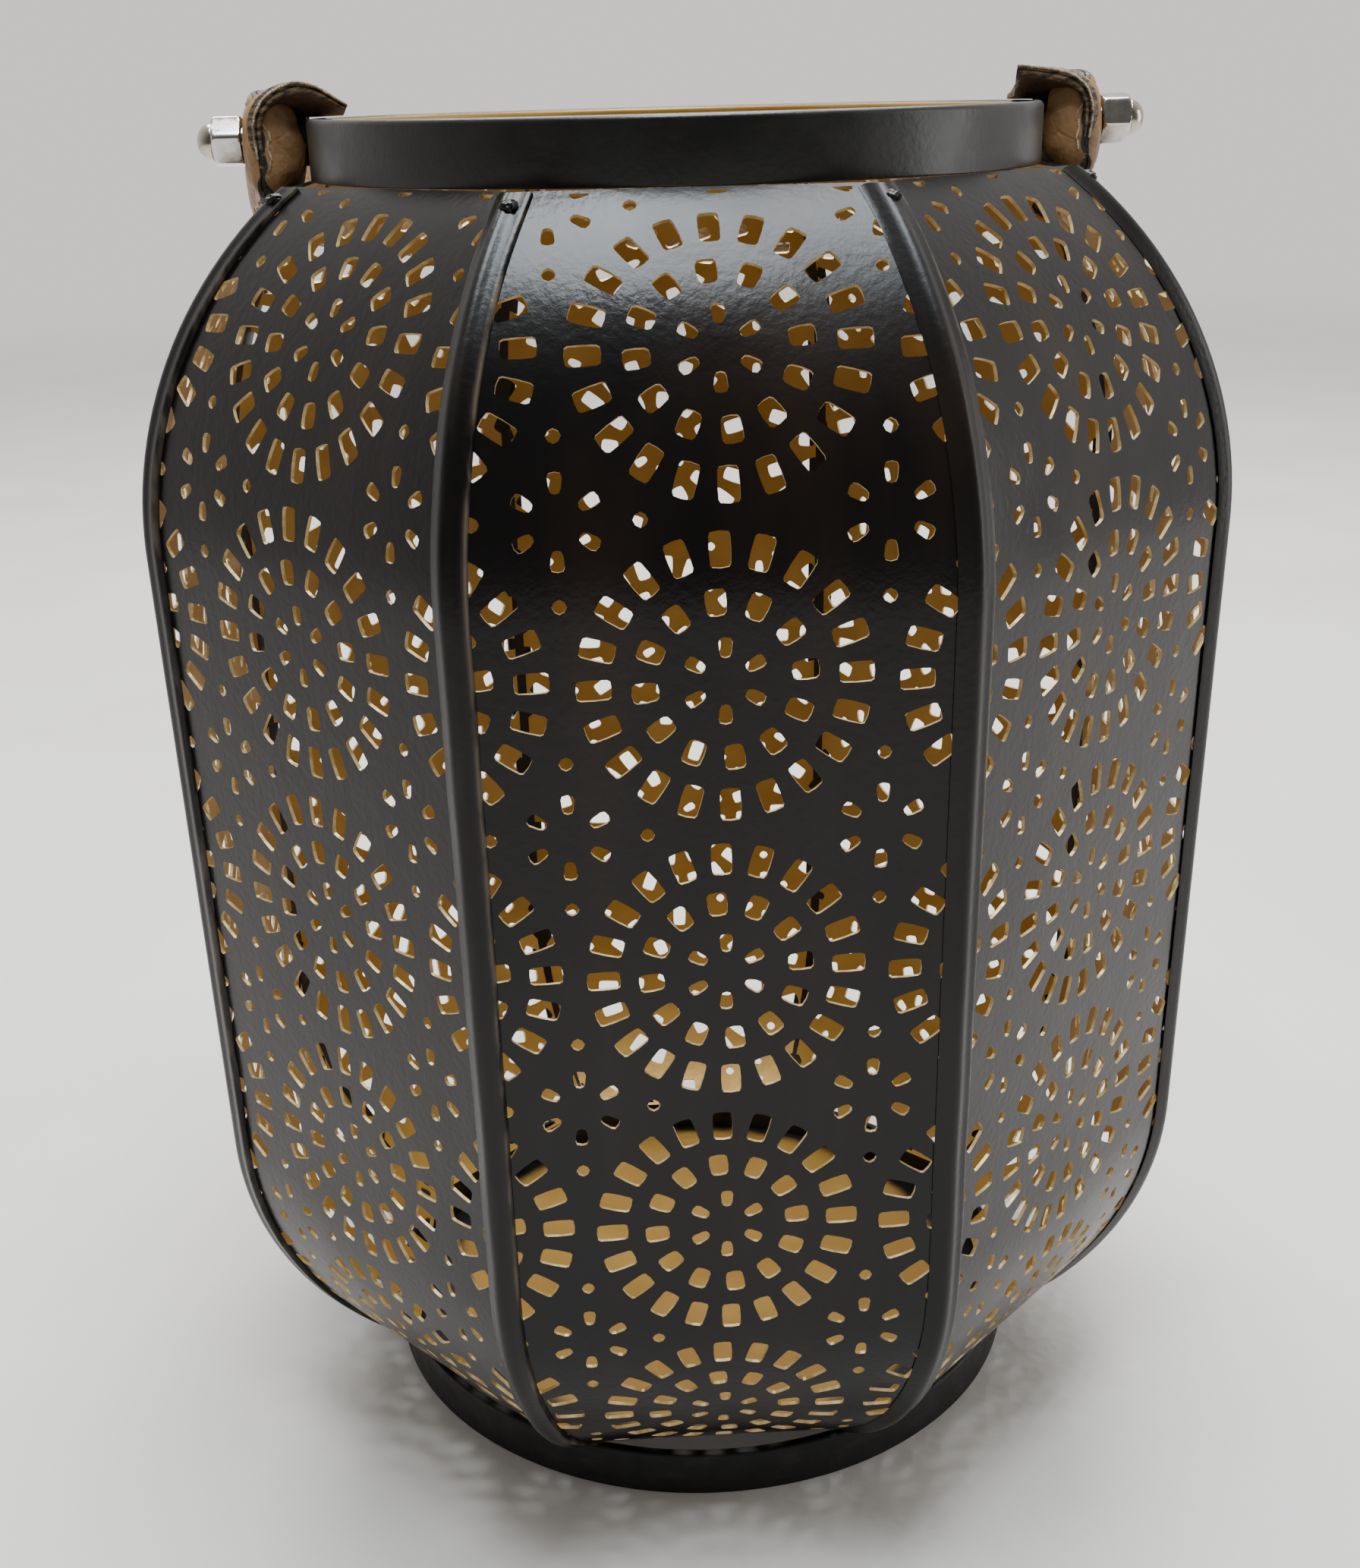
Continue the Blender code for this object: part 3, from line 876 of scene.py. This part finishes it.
def strap_layer(name, layer, node, looks):
    """One leather layer; layer is 1 outside and -1 inside."""
    shares = [-share for share in reversed(SECTION_SHARES[1:])] + list(SECTION_SHARES)
    bm = bmesh.new()
    sections = []
    for station in strap_line(2.6 * MM):
        place = station[4]
        high, low = strap_edge(place, -1), strap_edge(place, 1)
        widths = [mix(high, low, (share + 1) / 2) for share in shares]
        loop = [(across, lift(across, place, layer)) for across in widths[1:-1]]
        rounded = mix(GAP / 2, loop[0][1], 0.6)
        loop += [(low, rounded), (low, GAP / 2), (high, GAP / 2), (high, rounded)]
        sections.append([strap_point(station, across, layer, off) for across, off in loop])
    face_columns = len(shares) - 3
    loft(bm, sections, slot=lambda i, j: 0 if i >= 0 and j < face_columns else 1)
    obj = add_mesh(name, bm, looks, body=None)
    drill(obj, layer)
    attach(obj, "handle")
    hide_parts(node)
    return obj


def drill(obj, layer):
    """Opens both ends of the strap for the bolts and, on the inside, for the spacers."""
    bm = bmesh.new()
    bores = [(BOLT_BORE, 2 * NUT_TIP)]
    if layer < 0:
        bores.append((SPACER_BORE, 2 * (SPACER_END + GAP / 2)))
    for radius, depth in bores:
        made = bmesh.ops.create_cone(
            bm, cap_ends=True, segments=40, radius1=radius, radius2=radius, depth=depth
        )
        turn = Matrix.Rotation(math.pi / 2, 4, "Y")
        bmesh.ops.transform(bm, matrix=Matrix.Translation((0, 0, BOLT_Z)) @ turn, verts=made["verts"])
    cutter = add_mesh("bore", bm, body=None, smooth=False)
    modifier = obj.modifiers.new("bore", "BOOLEAN")
    modifier.operation, modifier.solver, modifier.object = "DIFFERENCE", "EXACT", cutter
    modifier.use_self = True
    bpy.context.view_layer.update()
    result = bpy.data.meshes.new_from_object(obj.evaluated_get(bpy.context.evaluated_depsgraph_get()))
    obj.modifiers.remove(modifier)
    obj.data = result
    bpy.data.objects.remove(cutter)


def stitch(bm, centre, along, normal, length, width, slot=0):
    """One sunken stitch: a small rounded bar."""
    aside = along.cross(normal)
    rings = ((-0.5, 0.35), (-0.4, 0.8), (0.0, 1.0), (0.4, 0.8), (0.5, 0.35))
    sections = []
    for place, size in rings:
        loop = []
        for step in range(6):
            turn = math.pi / 3 * step
            offset = aside * math.cos(turn) * width / 2 + normal * math.sin(turn) * width * 0.36
            loop.append(centre + along * length * place + offset * size)
        sections.append(loop)
    loft(bm, sections, slot=lambda i, j: slot)


def strap_stitches(look):
    """Rows of stitches along both edges of both faces, and a finer row beside the seam at each end."""
    bm = bmesh.new()
    line = strap_line(0.8 * MM)
    lengths = [math.dist(first[:2], second[:2]) for first, second in zip(line, line[1:])]
    margin = 6 * MM
    travelled, due = 0.0, margin
    for first, second, length in zip(line, line[1:], lengths):
        travelled += length
        if travelled < due or travelled > sum(lengths) - margin:
            continue
        due += STITCH_PITCH
        for layer in (1, -1):
            for side in (1, -1):
                across = strap_edge(first[4], side) - side * STITCH_INSET
                off = lift(across, first[4], layer) + 0.12 * MM
                centre = strap_point(first, across, layer, off)
                along = strap_point(second, across, layer, off) - centre
                normal = strap_point(first, across, layer, off + MM) - centre
                stitch(bm, centre, along.normalized(), normal.normalized(), 3.2 * MM, 0.9 * MM)
    for end in (line, line[::-1]):
        across = strap_edge(0.0, -1) + MM
        while across < strap_edge(0.0, 1) - MM:
            off = (1.35 + 0.25 * math.sin(across / MM * 1.7)) * MM
            centre = strap_point(end[0], across, -1, off)
            along = strap_point(end[0], across + MM, -1, off + 0.12 * MM) - centre
            normal = centre - strap_point(end[2], across, -1, off)
            stitch(bm, centre, along.normalized(), normal.normalized(), 2.3 * MM, 0.5 * MM)
            across += 2.1 * MM
    obj = add_mesh("strap_stitches", bm, [look], body="handle")
    return obj


# curled corner: distance out from the middle, height, share of its full depth, then thickness, in mm
CURL_ROOT = ((92.6, 314.6, 0.2, 1.0), (93.2, 319.0, 0.5, 1.6))
CURLS = {
    "left": (
        *CURL_ROOT,
        (93.5, 323.0, 0.9, 2.2),
        (93.1, 327.0, 1.0, 2.4),
        (91.0, 330.5, 1.0, 2.5),
        (87.5, 332.8, 1.0, 2.4),
        (83.2, 333.8, 1.0, 2.3),
        (79.4, 332.9, 0.95, 2.1),
        (76.0, 331.0, 0.8, 1.8),
        (73.0, 329.2, 0.6, 1.2),
    ),
    "right": (
        *CURL_ROOT,
        (93.5, 322.8, 0.9, 2.2),
        (93.2, 326.2, 1.0, 2.4),
        (91.8, 329.2, 1.0, 2.5),
        (89.0, 331.3, 1.0, 2.5),
        (85.4, 332.4, 1.0, 2.5),
        (81.8, 332.9, 1.0, 2.5),
        (78.6, 333.3, 0.95, 2.3),
        (76.4, 333.6, 0.9, 2.0),
    ),
}
CURL_STEPS = 6  # sections from one of those points to the next
ROOT_STEPS = CURL_STEPS * len(CURL_ROOT)
CURL_FRONT = -9.8 * MM
CURL_DEPTH = 22.0 * MM
CURL_REST = RIM_TOP + 0.7 * MM  # where the back of a curl lies on the rim
# share of the depth from the front edge, and share of the half thickness there
LEAF_SECTION = ((0, 0.72), (0.03, 1.0), (0.1, 1.05), (0.22, 1.0), (0.5, 0.9), (1, 0.5))
TOP_FACES = range(1, 5)
UNDER_FACES = range(6, 10)


def smooth_path(points, steps):
    """A Catmull-Rom line through the points."""
    points = [Vector(point) for point in points]
    padded = [2 * points[0] - points[1], *points, 2 * points[-1] - points[-2]]
    line = []
    for a, b, c, d in zip(padded, padded[1:], padded[2:], padded[3:]):
        square, cube = 2 * a - 5 * b + 4 * c - d, 3 * b - a - 3 * c + d
        for step in range(steps):
            t = step / steps
            line.append(b + 0.5 * ((c - a) * t + square * t**2 + cube * t**3))
    return [*line, points[-1]]


def leaf_point(y, off, side, middle, normal, fall, bulge, spread):
    """A place on a curl: its back falls and spreads, and its upper face bulges behind the front edge."""
    back = min(max(y - CURL_FRONT, 0.0) / (0.55 * CURL_DEPTH), 1.0)
    if off > 0:
        off += bulge * math.sqrt(min(2.2 * back, 1.0))
    place = middle + normal * off
    return Vector((side * (place.x + spread * back), y, place.z - fall * back))


def leaf_slot(column):
    """Tan above, a darker copy of the leather below as painted shade, and the cut edge in front."""
    if column in TOP_FACES:
        return 0
    return 2 if column in UNDER_FACES else 1


def curled_corner(name, side, looks):
    """The strap's upper front corner, curled in over the rim: a leaf of two layers with a sewn edge."""
    bm = bmesh.new()
    path = smooth_path(CURLS[name], CURL_STEPS)
    free_steps = len(path) - ROOT_STEPS
    sections, thread_line = [], []
    for index, point in enumerate(path):
        before, after = path[max(index - 1, 0)], path[min(index + 1, len(path) - 1)]
        run = Vector((after.x - before.x, 0, after.y - before.y)).normalized()
        normal = Vector((run.z, 0, -run.x))
        middle = Vector((point.x, 0, point.y)) * MM
        past_root = index - ROOT_STEPS
        fall = max(middle.z - CURL_REST, 0.0) * ease(past_root / (0.5 * free_steps))
        bulge = 2.7 * MM * ease(index / (ROOT_STEPS + 2)) * (1 - ease(past_root / (0.75 * free_steps)))
        spread = 2.4 * MM * ease(index / len(path))
        shape = (side, middle, normal, fall, bulge, spread)
        size, thick = CURL_DEPTH * point.z, point.w / 2 * MM
        edge = CURL_FRONT + 0.3 * MM * noise.noise(Vector((index * 0.4, side * 4.0, 0)))
        loop = [(edge + size * share, thick * part) for share, part in LEAF_SECTION]
        loop += [(y, -off) for y, off in reversed(loop)]
        loop += [(edge, -0.3 * MM), (edge + 0.6 * MM, 0.0), (edge, 0.3 * MM)]
        sections.append([leaf_point(y, off, *shape) for y, off in loop])
        if index >= CURL_STEPS:
            wander = 0.25 * MM * noise.noise(Vector((index * 0.9, side * 9.0, 3)))
            thread_line.append(leaf_point(edge - 0.1 * MM, thick * 0.55 + wander, *shape))
    loft(bm, sections, slot=lambda i, j: leaf_slot(j))
    for here, ahead in zip(thread_line, thread_line[1:]):
        run = ahead - here
        centre, length = (here + ahead) / 2, 1.05 * run.length
        stitch(bm, centre, run.normalized(), Vector((0, -1, 0)), length, 0.55 * MM, slot=3)
    obj = add_mesh(f"strap_curl_{name}", bm, looks, body="handle")
    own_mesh(obj)
    return obj


# ---------------------------------------------------------------- build

paint = black_paint("black_gloss")
strip_paint = black_paint("black_gloss_strip", 0.3, worn="worn")
dull = dull_black_paint("black_dull")
gold = gold_paint("gold_inside")
cut_edge = cut_metal("cut_edge")
plate = nickel("nickel")
warm_plate = nickel("nickel_dome", (0.5, 0.45, 0.37))
weld = weld_metal("weld_metal")
tan = leather("tan_leather")
edge_dye = dyed_edge("edge_dye")
thread = waxed_thread("thread")
raw_edge = layered_edge("raw_edge")
# painted shade: a dark copy of the tan leather, used on the curls' undersides
shaded_underside_leather = leather("leather_painted_shade", (0.075, 0.04, 0.022), (0.03, 0.018, 0.012))
rim_looks = (rim_paint("rim_paint"), gold)

for number in range(SIDES):
    pierced_panel(number, (paint, gold, cut_edge))
    corner_strip(number, strip_paint)
    weld_blob(number, weld if number == BARE_WELD else strip_paint)
for name, side, twist in (("left", -1, math.radians(-11)), ("right", 1, math.radians(10.6))):
    acorn_nut(name, side, twist, (plate, warm_plate))
strap_layer("strap_outer", 1, "strap_outer_layer", (tan, edge_dye))
strap_layer("strap_inner", -1, "strap_inner_layer", (tan, edge_dye))
strap_stitches(thread)
for name, side in (("left", -1), ("right", 1)):
    curled_corner(name, side, (tan, raw_edge, shaded_underside_leather, thread))
bar_ring("top_ring", RIM_RADIUS, RIM_UNDERSIDE - SEAL, 1.25 * MM, rim_looks)
bar_ring("base_ring", FOOT_RADIUS, 0.0, 1.0 * MM, (dull, dull))

CARRIED = {
    "floor_plate": floor_plate_paint("floor_plate_paint"),
    "spacer_left": dull,
    "spacer_right": dull,
    "pivot_bolt_left": plate,
    "pivot_bolt_right": plate,
}
for node, look in CARRIED.items():
    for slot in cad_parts[node].material_slots:
        slot.material = look


# ---------------------------------------------------------------- stage, light and camera


def make_floor():
    """A broad pale floor under the lantern."""
    bm = bmesh.new()
    bmesh.ops.create_circle(bm, cap_ends=True, segments=96, radius=4.0)
    obj = add_mesh("studio_floor", bm, [floor_look("pale_floor")], smooth=False, body=None)


def area_light(name, place, aim, size, power, color=(1, 1, 1)):
    """A soft rectangular light that points at a place."""
    data = bpy.data.lights.new(name, "AREA")
    data.shape, data.size, data.size_y = "RECTANGLE", *size
    data.energy, data.color = power, color
    obj = bpy.data.objects.new(name, data)
    obj.location = place
    obj.rotation_euler = (Vector(aim) - Vector(place)).to_track_quat("-Z", "Y").to_euler()
    bpy.context.scene.collection.objects.link(obj)


def make_world():
    """A pale room: bright behind and above the lantern, dim behind the camera."""
    world = bpy.data.worlds.new("soft_room")
    world.use_nodes = True
    tree = world.node_tree
    direction = tree.nodes.new("ShaderNodeTexCoord")
    parts = tree.nodes.new("ShaderNodeSeparateXYZ")
    ramp = tree.nodes.new("ShaderNodeMapRange")
    for socket, number in (("From Min", -0.75), ("From Max", 0.45), ("To Min", 0.17), ("To Max", 1.15)):
        ramp.inputs[socket].default_value = number
    background = tree.nodes["Background"]
    background.inputs["Color"].default_value = (0.82, 0.8, 0.775, 1)
    tree.links.new(direction.outputs["Generated"], parts.inputs["Vector"])
    tree.links.new(parts.outputs["Y"], ramp.inputs["Value"])
    tree.links.new(ramp.outputs["Result"], background.inputs["Strength"])
    bpy.context.scene.world = world


def make_camera(place, pitch, yaw, roll, lens, shift):
    """A camera looking down by its pitch, with the long side of the sensor 36 mm."""
    forward = Vector((math.sin(yaw) * math.cos(pitch), math.cos(yaw) * math.cos(pitch), -math.sin(pitch)))
    right = Vector((math.cos(yaw), -math.sin(yaw), 0))
    up = right.cross(forward)
    rolled_right = right * math.cos(roll) + up * math.sin(roll)
    rolled_up = up * math.cos(roll) - right * math.sin(roll)
    data = bpy.data.cameras.new("camera")
    data.sensor_width, data.sensor_fit, data.lens, data.shift_y = 36, "AUTO", lens, shift
    obj = bpy.data.objects.new("camera", data)
    obj.matrix_world = Matrix((rolled_right, rolled_up, -forward)).transposed().to_4x4()
    obj.location = place
    bpy.context.scene.collection.objects.link(obj)
    bpy.context.scene.camera = obj


make_floor()
area_light("key", (0.05, -0.14, 1.35), (0, -0.1, 0.25), (0.62, 0.46), 18, (0.88, 0.94, 1.0))
area_light("top", (0.0, 0.9, 1.7), (0, 0.2, 0.1), (1.6, 1.0), 48)
area_light("right", (1.3, -0.2, 0.5), (0, 0, 0.2), (0.5, 1.0), 5)
make_world()
make_camera((-0.0205, -0.44, 0.3307), 0.4298, 0.0389, -0.026, 40.4, 0.0726)
